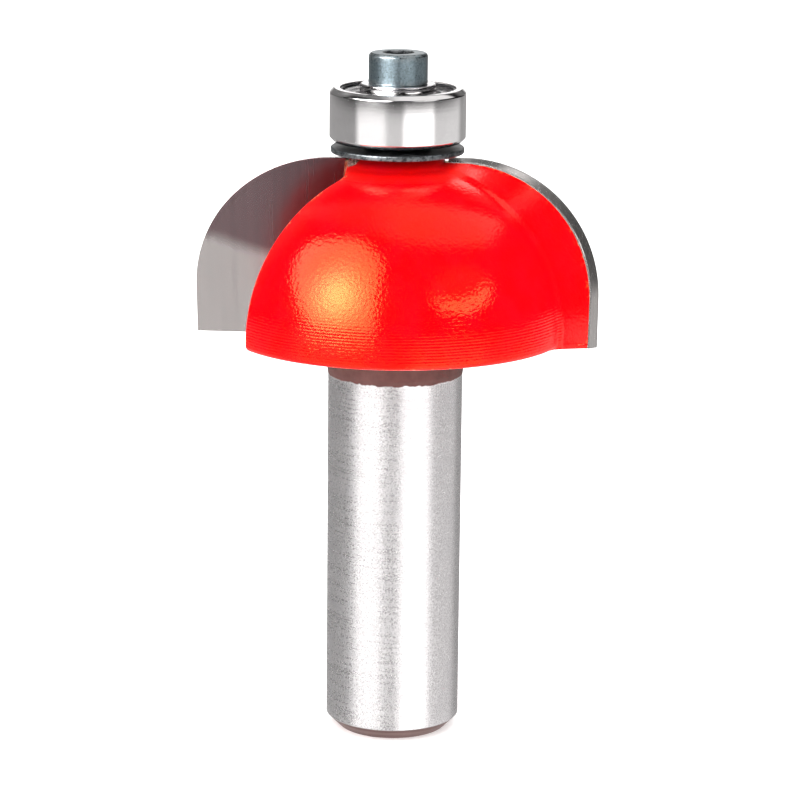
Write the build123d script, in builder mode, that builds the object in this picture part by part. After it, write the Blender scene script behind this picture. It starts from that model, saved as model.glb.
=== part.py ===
from build123d import *
import os
from math import sin, cos, tan, radians, sqrt, pi, hypot

# Cove router bit with a guide bearing on its end, standing on the end of its
# shank.  Origin at the centre of the shank end, +Z along the axis towards the
# bearing, cutting tips along +X and -X.  All dimensions in millimetres.

# ---------------------------------------------------------------- dimensions
shank_r = 6.35            # 12.70 mm collet shank
shank_chamfer = 1.20
collar_z = 34.60          # the ground shank ends here
collar_run = 0.56         # run-out cone up to the unground band
collar_r = 6.43           # unground band under the head
under_z = 38.42           # underside of the head
tip_low = 37.88           # lower end of the tips, a little below the underside
neck_r = 3.70             # short neck that carries the bearing stack
seat_z = 55.70            # shoulder the stack sits on
stud_r = 2.37             # pilot stud inside the bearing bore
stud_z = 61.52
tap_r = 1.50              # tapped hole, M3, drawn at its thread's outer size
tap_depth = 8.6

dome_cr, dome_cz, dome_R = 0.20, 39.23, 16.00     # section arc of the head
crest_r = 4.95            # the dome meets the flare of the neck here
rim_fillet = 0.55

cut_r0 = 6.35             # pilot radius: the cove arc starts here
cut_R = 12.70             # cove radius
cut_zc = 42.47            # height of the cove arc's centre
cut_zt = cut_zc + cut_R   # top of the cutting edge
hook = 0.80               # rake face lies this far behind the radial line
shear = radians(7.4)      # tips lean forward towards the bearing end
tip_t = 1.60              # tip thickness
relief_r, relief_z = 0.56, 0.14   # how much the profile falls by the tip's back
braze_t = 0.08
braze_w = 0.28            # braze at the tip's inner end
land_inset = 0.14         # steel stands this much inside the tip's back
land_len = 2.70           # steel land behind the tip, falling in a hollow curve to the dome
land_cuts = 6             # sections along the land

root_top, root_bot = 4.45, 6.60   # gullet floor radius at the top and bottom
heel_x, heel_y, heel_ang = 13.10, 9.35, radians(29.2)   # heel wall of the gullet
gullet_fillet = 1.2
heel_round = 0.30         # broken edge where the gullet's heel wall meets the dome

dust_r, dust_t = 6.22, 0.52
boss_r, boss_h = 3.10, 0.52
brg_bore_r, brg_r, brg_w = 2.38125, 6.35, 4.978
brg_chamfer = 0.42
ball_n, ball_r, pitch_r = 7, 1.180, 4.365
race_r = 1.238
race_in = pitch_r - 1.1906 - 0.010     # bottoms of the two races
race_out = pitch_r + 1.1906 + 0.010
inner_land_r, outer_land_r = 3.56, 5.17
recess_r, recess_h = 5.38, 0.52        # shield seat in the ring's mouth
groove_r, groove_lo, groove_hi = 5.52, 0.32, 0.10   # snap ring groove, below the face
shield_r0, shield_t = 3.90, 0.16
cage_r0, cage_r1, cage_lo, cage_hi = 3.74, 4.98, -1.68, 0.50
pocket_r = 1.27
lock_r, lock_bore_r, lock_t = 3.50, 1.62, 0.40
head_r, head_h = 2.75, 2.86
hex_af, hex_depth = 2.50, 1.35
screw_r, screw_len = 1.47, 7.6

brg_z0 = seat_z + dust_t + boss_h
brg_zm = brg_z0 + brg_w / 2
brg_z1 = brg_z0 + brg_w
head_z0 = brg_z1 + lock_t

os.makedirs("parts", exist_ok=True)

# ------------------------------------------------------- frame of one tip
# Local x is the radius, local y runs up the leaning slab, local z goes from
# the rake face into the slab.
rake = Plane(origin=(0, -hook, cut_zc), x_dir=(1, 0, 0), z_dir=(0, -cos(shear), sin(shear)))
w_top = (cut_zt - cut_zc) / cos(shear)
w_bot = (tip_low - cut_zc) / cos(shear)


def slab_point(r, z, depth):
    """Point of the surface of revolution (r, z) on the plane lying depth behind the rake face."""
    w = (z - cut_zc - depth * sin(shear)) / cos(shear)
    y = -hook + w * sin(shear) - depth * cos(shear)
    return sqrt(max(r * r - y * y, 0.01)), w


def root_u(w):
    """Radius of the gullet floor at the height w along the slab."""
    return root_bot + (root_top - root_bot) * (w - w_bot) / (w_top - w_bot)


def cove_edge(depth, dr, dz, inset, n=15):
    """Cove arc on one plane of the slab, moved in by the relief, from its top to its side."""
    pts = []
    for i in range(n):
        a = pi / 2 * (1 - i / (n - 1))
        r = cut_r0 - dr + (cut_R - inset) * cos(a)
        z = cut_zc - dz + (cut_R - inset) * sin(a)
        pts.append(slab_point(r, z, depth))
    return pts


def dome_r(z):
    return dome_cr + sqrt(dome_R ** 2 - (z - dome_cz) ** 2)


def tip_outline(depth, dr, dz, inset, low, gap):
    """Closed outline of the tip on one plane: cove arc, side, lower edge, inner edge, top."""
    arc = cove_edge(depth, dr, dz, inset)
    side = slab_point(cut_r0 + cut_R - dr - inset, tip_low + depth * sin(shear), depth)[0]
    w_hi = arc[0][1]
    corners = [arc[-1], (side, w_bot + low), (root_u(w_bot + low) + gap, w_bot + low),
               (root_u(w_hi) + gap, w_hi), arc[0]]
    return arc, corners


# ----------------------------------------------------------------- gullet
# the gullet: everything in front of the seat and outside the floor, as far as
# the heel wall
with BuildPart() as gullet:
    with BuildSketch(rake.offset(-26)):
        with BuildLine():
            Polyline((root_u(-9), -9), (30, -9), (30, 22), (root_u(22), 22), close=True)
        make_face()
    extrude(amount=26 + tip_t + braze_t)
    with BuildSketch(Plane.XY.offset(36)):
        with BuildLine():
            Polyline((0, -9), (30, -9), (30, heel_y + (30 - heel_x) * tan(heel_ang)),
                     (0, heel_y - heel_x * tan(heel_ang)), close=True)
        make_face()
    extrude(amount=24, mode=Mode.INTERSECT)
    inner = gullet.edges().sort_by(lambda e: hypot((e @ 0.5).X - 6.2, (e @ 0.5).Y - 5.5))[0]
    fillet(inner, gullet_fillet)

# ------------------------------------------------------------------- body
# Shank, collar, head, neck and pilot stud: one piece of steel, turned, then
# milled for the two gullets and the two tip seats.
crest_z = dome_cz + sqrt(dome_R ** 2 - (crest_r - dome_cr) ** 2)
flare_z = 55.48
with BuildPart() as body:
    with BuildSketch(Plane.XZ) as blank:
        with BuildLine():
            Polyline((0, 0), (shank_r - shank_chamfer, 0), (shank_r, shank_chamfer),
                     (shank_r, collar_z), (collar_r, collar_z + collar_run), (collar_r, under_z),
                     (dome_r(under_z), under_z))
            ThreePointArc((dome_r(under_z), under_z), (dome_r(48.0), 48.0), (crest_r, crest_z))
            Polyline((crest_r, crest_z), (neck_r, flare_z), (neck_r, seat_z), (stud_r, seat_z),
                     (stud_r, stud_z - 0.25), (stud_r - 0.25, stud_z), (0, stud_z), (0, 0))
        make_face()
        for cx, cz, rad in ((dome_r(under_z), under_z, rim_fillet), (collar_r, under_z, 0.30),
                            (crest_r, crest_z, 0.55), (neck_r, flare_z, 0.20)):
            corner = blank.vertices().filter_by(lambda v: hypot(v.X - cx, v.Z - cz) < 0.01)
            fillet(corner, rad)
    revolve(axis=Axis.Z)

    # steel land behind each tip: it starts as the tip's outline and falls in a
    # hollow curve to the dome
    d0 = tip_t + braze_t
    front = cove_edge(d0, relief_r, relief_z, land_inset)
    cuts = []
    for k in range(land_cuts):
        s = k / (land_cuts - 1)
        g = 1 - (1 - s) ** 1.9
        d = d0 + land_len * s
        outline = []
        for i, (u, w) in enumerate(front):
            q = i / (len(front) - 1)
            a = radians(76) * (1 - q) + radians(9) * q
            under = dome_R - 0.16
            ud, wd = slab_point(dome_cr + under * cos(a), dome_cz + under * sin(a), d)
            outline.append((u + (ud - u) * g, w + (wd - w) * g))
        side = (1 - g) * slab_point(cut_r0 + cut_R - relief_r - land_inset, tip_low + d0 * sin(shear), d0)[0] \
            + g * (slab_point(dome_r(under_z + 1.0), under_z + d * sin(shear), d)[0] - 0.16)
        low = w_bot + 0.03
        with BuildSketch(rake.offset(d), mode=Mode.PRIVATE) as cut:
            with BuildLine():
                Spline(*outline)
                Polyline(outline[-1], (side, low), (root_u(low) - 0.6, low),
                         (root_u(outline[0][1]) - 0.6, outline[0][1]), outline[0])
            make_face()
        cuts.append(cut.sketch)
    land = loft(cuts, ruled=True, mode=Mode.PRIVATE)
    print("land", land.volume, land.is_valid)
    for turn in (0, 180):
        add(land.rotate(Axis.Z, turn))

    # tapped hole down the stud, with its drill point
    with Locations((0, 0, stud_z)):
        Hole(tap_r, depth=tap_depth)
    with Locations((0, 0, stud_z - tap_depth)):
        Cone(0, tap_r, 0.75, align=(Align.CENTER, Align.CENTER, Align.MAX), mode=Mode.SUBTRACT)

    for turn in (0, 180):
        add(gullet.part.rotate(Axis.Z, turn), mode=Mode.SUBTRACT)

    # broken edges along both heels
    heels = []
    for edge in body.edges():
        on_wall = []
        for t in (0.0, 0.25, 0.5, 0.75, 1.0):
            q = edge @ t
            side_of = 1 if q.Y > 0 else -1
            x, y = q.X * side_of, q.Y * side_of
            on_wall.append(abs((y - heel_y) * cos(heel_ang) - (x - heel_x) * sin(heel_ang)) < 0.01)
        m = edge @ 0.5
        if all(on_wall) and hypot(m.X, m.Y) > 10 and m.Z > under_z + 0.01:
            heels.append(edge)
    print("heel edges", [(round(e.length, 2), round((e @ 0.5).Z, 1)) for e in heels])

    fillet(heels, heel_round)

body.part.label = "body"
export_step(body.part, "parts/body.step")
print("body", round(body.part.volume, 3), len(body.part.solids()), body.part.is_valid, body.part.bounding_box())

# ----------------------------------------------------------- cutting tips
f_arc, f_c = tip_outline(0, 0, 0, 0, 0, braze_w)
b_arc, b_c = tip_outline(tip_t, relief_r, relief_z, 0, 0, braze_w)
with BuildPart() as carbide_tip_1:
    with BuildSketch(rake):
        with BuildLine():
            Spline(*f_arc)
            Polyline(*f_c)
        make_face()
    with BuildSketch(rake.offset(tip_t)):
        with BuildLine():
            Spline(*b_arc)
            Polyline(*b_c)
        make_face()
    loft(ruled=True)
with BuildPart() as carbide_tip_2:
    add(carbide_tip_1.part.rotate(Axis.Z, 180))
print("tip", carbide_tip_1.part.volume, carbide_tip_1.part.is_valid)

# silver braze: a film behind the tip and a fillet at its inner end
a_arc, a_c = tip_outline(tip_t, relief_r, relief_z, land_inset, 0.03, 0.0)
with BuildPart() as braze_film_1:
    with BuildSketch(rake.offset(tip_t)):
        with BuildLine():
            Spline(*a_arc)
            Polyline(*a_c)
        make_face()
    extrude(amount=braze_t)
    with BuildSketch(rake.offset(0.22)):
        with BuildLine():
            wt = w_top - 0.30
            Polyline((root_u(w_bot + 0.03), w_bot + 0.03), (root_u(w_bot + 0.03) + braze_w, w_bot + 0.03),
                     (root_u(wt) + braze_w, wt), (root_u(wt), wt), close=True)
        make_face()
    extrude(amount=tip_t - 0.22)
with BuildPart() as braze_film_2:
    add(braze_film_1.part.rotate(Axis.Z, 180))

# ------------------------------------------------------------ dust washer
with BuildPart() as dust_washer:
    with BuildSketch(Plane.XZ):
        with BuildLine():
            e = 0.14
            Polyline((brg_bore_r + 0.02, seat_z), (dust_r - e, seat_z), (dust_r, seat_z + e),
                     (dust_r, seat_z + dust_t - e), (dust_r - e, seat_z + dust_t),
                     (boss_r + 0.15, seat_z + dust_t), (boss_r, seat_z + dust_t + 0.15),
                     (boss_r, seat_z + dust_t + boss_h), (brg_bore_r + 0.02, seat_z + dust_t + boss_h), close=True)
        make_face()
    revolve(axis=Axis.Z)

# ---------------------------------------------------------------- bearing
with BuildPart() as bearing_inner_ring:
    with BuildSketch(Plane.XZ):
        with BuildLine():
            c = 0.15
            z0, z1 = brg_z0, brg_z1
            Polyline((brg_bore_r, z0 + c), (brg_bore_r + c, z0), (inner_land_r - c, z0), (inner_land_r, z0 + c),
                     (inner_land_r, z1 - c), (inner_land_r - c, z1), (brg_bore_r + c, z1), (brg_bore_r, z1 - c), close=True)
        make_face()
        with Locations((race_in + race_r, brg_zm)):
            Circle(race_r, mode=Mode.SUBTRACT)
    revolve(axis=Axis.Z)

with BuildPart() as bearing_outer_ring:
    with BuildSketch(Plane.XZ):
        with BuildLine():
            c, z0, z1 = brg_chamfer, brg_z0, brg_z1
            Polyline((recess_r, z0), (brg_r - c, z0), (brg_r, z0 + c), (brg_r, z1 - c), (brg_r - c, z1),
                     (recess_r, z1), (recess_r, z1 - groove_hi), (groove_r, z1 - groove_hi),
                     (groove_r, z1 - groove_lo), (recess_r, z1 - groove_lo), (recess_r, z1 - recess_h),
                     (outer_land_r, z1 - recess_h), (outer_land_r, z0 + recess_h), (recess_r, z0 + recess_h),
                     (recess_r, z0 + groove_lo), (groove_r, z0 + groove_lo), (groove_r, z0 + groove_hi),
                     (recess_r, z0 + groove_hi), close=True)
        make_face()
        with Locations((race_out - race_r, brg_zm)):
            Circle(race_r, mode=Mode.SUBTRACT)
    revolve(axis=Axis.Z)

# seven balls, each its own piece
balls = []
for i in range(ball_n):
    a = 2 * pi * i / ball_n + pi / 2
    with BuildPart() as ball:
        with Locations((pitch_r * cos(a), pitch_r * sin(a), brg_zm)):
            Sphere(ball_r)
    balls.append(ball)

# crown cage: a ring under the balls with a round pocket for each
with BuildPart() as ball_cage:
    with BuildSketch(Plane.XZ):
        with BuildLine():
            Polyline((cage_r0, brg_zm + cage_lo), (cage_r1, brg_zm + cage_lo), (cage_r1, brg_zm + cage_hi),
                     (cage_r0, brg_zm + cage_hi), close=True)
        make_face()
    revolve(axis=Axis.Z)
    with Locations((0, 0, brg_zm)):
        with PolarLocations(pitch_r, ball_n, start_angle=90):
            Sphere(pocket_r, mode=Mode.SUBTRACT)
    # notches between neighbouring pockets leave two horns on each web
    with Locations((0, 0, brg_zm + cage_hi)):
        with PolarLocations(pitch_r, ball_n, start_angle=90 + 180 / ball_n):
            Box(3.0, 0.50, 1.0, mode=Mode.SUBTRACT)

# pressed shields, dished towards the balls, and the C-shaped wires that hold them


def shield_profile(face, s):
    """Section of a shield under a ring face; s is +1 for the upper face and -1 for the lower."""
    zo = face - s * recess_h              # step the rim sits on
    zi = zo - s * 0.13                    # dished inner part
    t = s * shield_t
    return [(shield_r0, zi), (4.78, zi), (4.98, zo), (recess_r - 0.01, zo), (recess_r - 0.01, zo + t),
            (4.92, zo + t), (4.72, zi + t), (shield_r0 + 0.10, zi + t), (shield_r0, zi + 0.6 * t)]


with BuildPart() as bearing_shield_top:
    with BuildSketch(Plane.XZ):
        with BuildLine():
            Polyline(*shield_profile(brg_z1, 1), close=True)
        make_face()
    revolve(axis=Axis.Z)

with BuildPart() as bearing_shield_bottom:
    with BuildSketch(Plane.XZ):
        with BuildLine():
            Polyline(*shield_profile(brg_z0, -1), close=True)
        make_face()
    revolve(axis=Axis.Z)


def snap_ring(face, s, start):
    """Open ring lying in the groove under a ring face."""
    lo, hi = groove_lo - 0.01, groove_hi + 0.03
    za, zb = sorted((face - s * lo, face - s * hi))
    with BuildPart() as ring:
        with BuildSketch(Plane.XY.offset(za)):
            Circle(groove_r - 0.02)
            Circle(5.14, mode=Mode.SUBTRACT)
            with Locations(Rotation(0, 0, start)):
                with Locations((groove_r, 0)):
                    Rectangle(2.2, 1.15, mode=Mode.SUBTRACT)
        extrude(amount=zb - za)
    return ring


shield_snap_ring_top = snap_ring(brg_z1, 1, 205)
shield_snap_ring_bottom = snap_ring(brg_z0, -1, 25)

# ---------------------------------------------------- lock washer and screw
with BuildPart() as lock_washer:
    with BuildSketch(Plane.XZ):
        with BuildLine():
            e = 0.07
            z0, z1 = brg_z1, head_z0
            Polyline((lock_bore_r, z0), (lock_r - e, z0), (lock_r, z0 + e), (lock_r, z1 - 2 * e),
                     (lock_r - 2 * e, z1), (lock_bore_r, z1), close=True)
        make_face()
    revolve(axis=Axis.Z)

with BuildPart() as cap_screw:
    with BuildSketch(Plane.XZ):
        with BuildLine():
            z0, z1, z2 = head_z0 - screw_len, head_z0, head_z0 + head_h
            Polyline((0, z0), (screw_r - 0.30, z0), (screw_r, z0 + 0.30), (screw_r, z1), (head_r - 0.10, z1),
                     (head_r, z1 + 0.10), (head_r, z2 - 0.38))
            RadiusArc((head_r, z2 - 0.38), (head_r - 0.38, z2), -0.38)
            Polyline((head_r - 0.38, z2), (0, z2), (0, z0))
        make_face()
    revolve(axis=Axis.Z)
    with BuildSketch(Plane.XY.offset(head_z0 + head_h - hex_depth)):
        RegularPolygon(hex_af / 2, 6, major_radius=False, rotation=12)
    extrude(amount=hex_depth, mode=Mode.SUBTRACT)
    with Locations((0, 0, head_z0 + head_h - hex_depth)):
        Cone(0, hex_af / 2 - 0.03, 0.45, align=(Align.CENTER, Align.CENTER, Align.MAX), mode=Mode.SUBTRACT)
    with Locations((0, 0, head_z0 + head_h)):
        Cone(hex_af / 2 - 0.02, hex_af / 2 + 0.24, 0.26, align=(Align.CENTER, Align.CENTER, Align.MAX), mode=Mode.SUBTRACT)

# ------------------------------------------------------------------ output
pieces = {
    "carbide_tip_1": carbide_tip_1, "carbide_tip_2": carbide_tip_2,
    "braze_film_1": braze_film_1, "braze_film_2": braze_film_2,
    "dust_washer": dust_washer, "bearing_inner_ring": bearing_inner_ring,
    "bearing_outer_ring": bearing_outer_ring, "ball_cage": ball_cage,
    "bearing_shield_top": bearing_shield_top, "bearing_shield_bottom": bearing_shield_bottom,
    "shield_snap_ring_top": shield_snap_ring_top, "shield_snap_ring_bottom": shield_snap_ring_bottom,
    "lock_washer": lock_washer, "cap_screw": cap_screw,
}
for i, b in enumerate(balls):
    pieces["bearing_ball_%d" % (i + 1)] = b
for label, piece in pieces.items():
    piece.part.label = label
    export_step(piece.part, "parts/%s.step" % label)
    print(label, round(piece.part.volume, 3), len(piece.part.solids()), piece.part.is_valid)
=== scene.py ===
import math
import random

import bmesh
import bpy
import numpy as np
from mathutils import Matrix, Vector, noise


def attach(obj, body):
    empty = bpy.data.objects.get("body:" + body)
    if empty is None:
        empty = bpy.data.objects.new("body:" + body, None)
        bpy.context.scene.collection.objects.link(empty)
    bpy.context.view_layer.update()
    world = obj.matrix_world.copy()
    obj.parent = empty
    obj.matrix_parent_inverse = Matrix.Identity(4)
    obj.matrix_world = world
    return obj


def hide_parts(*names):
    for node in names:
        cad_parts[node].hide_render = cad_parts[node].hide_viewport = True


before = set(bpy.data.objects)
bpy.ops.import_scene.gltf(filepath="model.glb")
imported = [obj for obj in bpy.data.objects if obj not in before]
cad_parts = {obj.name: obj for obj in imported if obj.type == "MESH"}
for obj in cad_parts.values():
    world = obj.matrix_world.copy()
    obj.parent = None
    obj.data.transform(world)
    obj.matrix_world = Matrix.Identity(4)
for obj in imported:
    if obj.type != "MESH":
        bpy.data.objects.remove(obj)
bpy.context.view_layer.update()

MM = 0.001
rng = random.Random(7)
sin, cos, tan, pi, rad = math.sin, math.cos, math.tan, math.pi, math.radians


# ============================================================ mesh helpers
def to_object(name, bm, mats, sharp=34, weld=2e-7):
    """Welds, orients and shades a bmesh in metres, and links it as an object."""
    bmesh.ops.remove_doubles(bm, verts=bm.verts, dist=weld)
    bmesh.ops.dissolve_degenerate(bm, edges=bm.edges, dist=weld)
    bmesh.ops.recalc_face_normals(bm, faces=bm.faces)
    me = bpy.data.meshes.new(name)
    bm.to_mesh(me)
    bm.free()
    for p in me.polygons:
        p.use_smooth = True
    me.set_sharp_from_angle(angle=rad(sharp))
    for m in mats:
        me.materials.append(m)
    ob = bpy.data.objects.new(name, me)
    bpy.context.scene.collection.objects.link(ob)
    return ob


def unit(v):
    d = math.hypot(*v)
    return (v[0] / d, v[1] / d)


def rounded(pts, closed=True, k=5):
    """(r, z, radius) corners to a (r, z) polyline with a real arc at each corner."""
    out, n = [], len(pts)
    for i, (r, z, q) in enumerate(pts):
        if q <= 0 or (not closed and i in (0, n - 1)):
            out.append((r, z))
            continue
        a, b = pts[i - 1], pts[(i + 1) % n]
        d1, d2 = unit((a[0] - r, a[1] - z)), unit((b[0] - r, b[1] - z))
        c = max(-0.9999, min(0.9999, d1[0] * d2[0] + d1[1] * d2[1]))
        half = math.acos(c) / 2
        t = q / tan(half)
        bis = unit((d1[0] + d2[0], d1[1] + d2[1]))
        cx, cz = r + bis[0] * q / sin(half), z + bis[1] * q / sin(half)
        p0, p1 = (r + d1[0] * t, z + d1[1] * t), (r + d2[0] * t, z + d2[1] * t)
        a0, a1 = math.atan2(p0[1] - cz, p0[0] - cx), math.atan2(p1[1] - cz, p1[0] - cx)
        while a1 - a0 > pi:
            a1 -= 2 * pi
        while a1 - a0 < -pi:
            a1 += 2 * pi
        for j in range(k + 1):
            w = a0 + (a1 - a0) * j / k
            out.append((cx + q * cos(w), cz + q * sin(w)))
    return out


def lathe(bm, prof, seg=160, closed=True, wobble=None, mat=0):
    """Revolves a (r, z) polyline, in mm, about Z. wobble(theta, r, z) may shift a point."""
    rings = []
    for r, z in prof:
        if r < 1e-6:
            rings.append([bm.verts.new((0, 0, z * MM))])
            continue
        ring = []
        for i in range(seg):
            th = 2 * pi * i / seg
            rr, zz = wobble(th, r, z) if wobble else (r, z)
            ring.append(bm.verts.new((rr * cos(th) * MM, rr * sin(th) * MM, zz * MM)))
        rings.append(ring)
    pairs = list(zip(rings, rings[1:]))
    if closed:
        pairs.append((rings[-1], rings[0]))
    for a, b in pairs:
        for i in range(seg):
            j = (i + 1) % seg
            if len(a) == 1 and len(b) == 1:
                break
            if len(a) == 1:
                f = bm.faces.new((a[0], b[i], b[j]))
            elif len(b) == 1:
                f = bm.faces.new((a[i], b[0], a[j]))
            else:
                f = bm.faces.new((a[i], b[i], b[j], a[j]))
            f.material_index = mat
    return rings


def dense(pts, step):
    """Divides the long runs of a polyline."""
    out = []
    for a, b in zip(pts, pts[1:]):
        n = max(1, int(math.ceil(math.hypot(b[0] - a[0], b[1] - a[1]) / step)))
        out += [(a[0] + (b[0] - a[0]) * i / n, a[1] + (b[1] - a[1]) * i / n) for i in range(n)]
    return out + [pts[-1]]


# ========================================================= material helpers
class Mat:
    """A Principled material with short calls for its node graph."""

    def __init__(self, name):
        self.m = bpy.data.materials.new(name)
        self.m.use_nodes = True
        self.nt = self.m.node_tree
        self.nt.nodes.clear()
        self.out = self.nt.nodes.new("ShaderNodeOutputMaterial")
        self.p = self.nt.nodes.new("ShaderNodeBsdfPrincipled")
        self.link(self.p.outputs[0], self.out.inputs[0])
        self.coord = self.nt.nodes.new("ShaderNodeTexCoord").outputs["Object"]
        s = self.nt.nodes.new("ShaderNodeSeparateXYZ")
        self.link(self.coord, s.inputs[0])
        self.x, self.y, self.z = s.outputs

    def link(self, a, b):
        self.nt.links.new(a, b)

    def put(self, sock, v):
        if isinstance(v, bpy.types.NodeSocket):
            self.link(v, sock)
        elif v is not None:
            sock.default_value = v

    def set(self, **kw):
        for k, v in kw.items():
            self.put(self.p.inputs[k.replace("_", " ")], v)
        return self

    def math(self, op, a, b=None, c=None, clamp=False):
        n = self.nt.nodes.new("ShaderNodeMath")
        n.operation, n.use_clamp = op, clamp
        for i, v in enumerate((a, b, c)):
            self.put(n.inputs[i], v)
        return n.outputs[0]

    def add(self, a, b):
        return self.math("ADD", a, b)

    def mul(self, a, b):
        return self.math("MULTIPLY", a, b)

    def ramp(self, v, lo, hi, a=0.0, b=1.0, smooth=True):
        n = self.nt.nodes.new("ShaderNodeMapRange")
        n.interpolation_type = "SMOOTHSTEP" if smooth else "LINEAR"
        for i, q in enumerate((v, lo, hi, a, b)):
            self.put(n.inputs[i], q)
        return n.outputs[0]

    def combine(self, x, y, z):
        n = self.nt.nodes.new("ShaderNodeCombineXYZ")
        for i, v in enumerate((x, y, z)):
            self.put(n.inputs[i], v)
        return n.outputs[0]

    def scaled(self, sx, sy, sz, turn=(0, 0, 0)):
        n = self.nt.nodes.new("ShaderNodeMapping")
        n.vector_type = "POINT"
        self.link(self.coord, n.inputs[0])
        n.inputs["Rotation"].default_value = turn
        n.inputs["Scale"].default_value = (sx, sy, sz)
        return n.outputs[0]

    def noise(self, vec, scale, detail=3.0, rough=0.55, dist=0.0):
        n = self.nt.nodes.new("ShaderNodeTexNoise")
        self.link(vec, n.inputs["Vector"])
        n.inputs["Scale"].default_value = scale
        n.inputs["Detail"].default_value = detail
        n.inputs["Roughness"].default_value = rough
        n.inputs["Distortion"].default_value = dist
        return n.outputs[0]

    def voronoi(self, vec, scale, feature="F1", out="Distance", rand=1.0):
        n = self.nt.nodes.new("ShaderNodeTexVoronoi")
        n.feature = feature
        self.link(vec, n.inputs["Vector"])
        n.inputs["Scale"].default_value = scale
        n.inputs["Randomness"].default_value = rand
        return n.outputs[out]

    def attr(self, name):
        n = self.nt.nodes.new("ShaderNodeAttribute")
        n.attribute_name = name
        return n.outputs["Fac"]

    def mix(self, f, a, b):
        n = self.nt.nodes.new("ShaderNodeMix")
        n.data_type = "RGBA"
        self.put(n.inputs[0], f)
        for s, v in ((n.inputs[6], a), (n.inputs[7], b)):
            self.put(s, (*v, 1.0) if isinstance(v, tuple) and len(v) == 3 else v)
        return n.outputs[2]

    def bump(self, height, strength, distance, below=None):
        n = self.nt.nodes.new("ShaderNodeBump")
        n.inputs["Strength"].default_value = strength
        n.inputs["Distance"].default_value = distance
        self.link(height, n.inputs["Height"])
        if below is not None:
            self.link(below, n.inputs["Normal"])
        return n.outputs[0]

    def radius(self):
        return self.math("SQRT", self.add(self.mul(self.x, self.x), self.mul(self.y, self.y)))

    def vec(self, op, a, b=None, scale=None):
        n = self.nt.nodes.new("ShaderNodeVectorMath")
        n.operation = op
        self.put(n.inputs[0], a)
        self.put(n.inputs[1], b)
        if scale is not None:
            self.put(n.inputs["Scale"], scale)
        return n.outputs["Value" if op == "DOT_PRODUCT" else "Vector"]

    def about_z(self):
        n = self.nt.nodes.new("ShaderNodeTangent")
        n.direction_type, n.axis = "RADIAL", "Z"
        return n.outputs[0]


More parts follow.
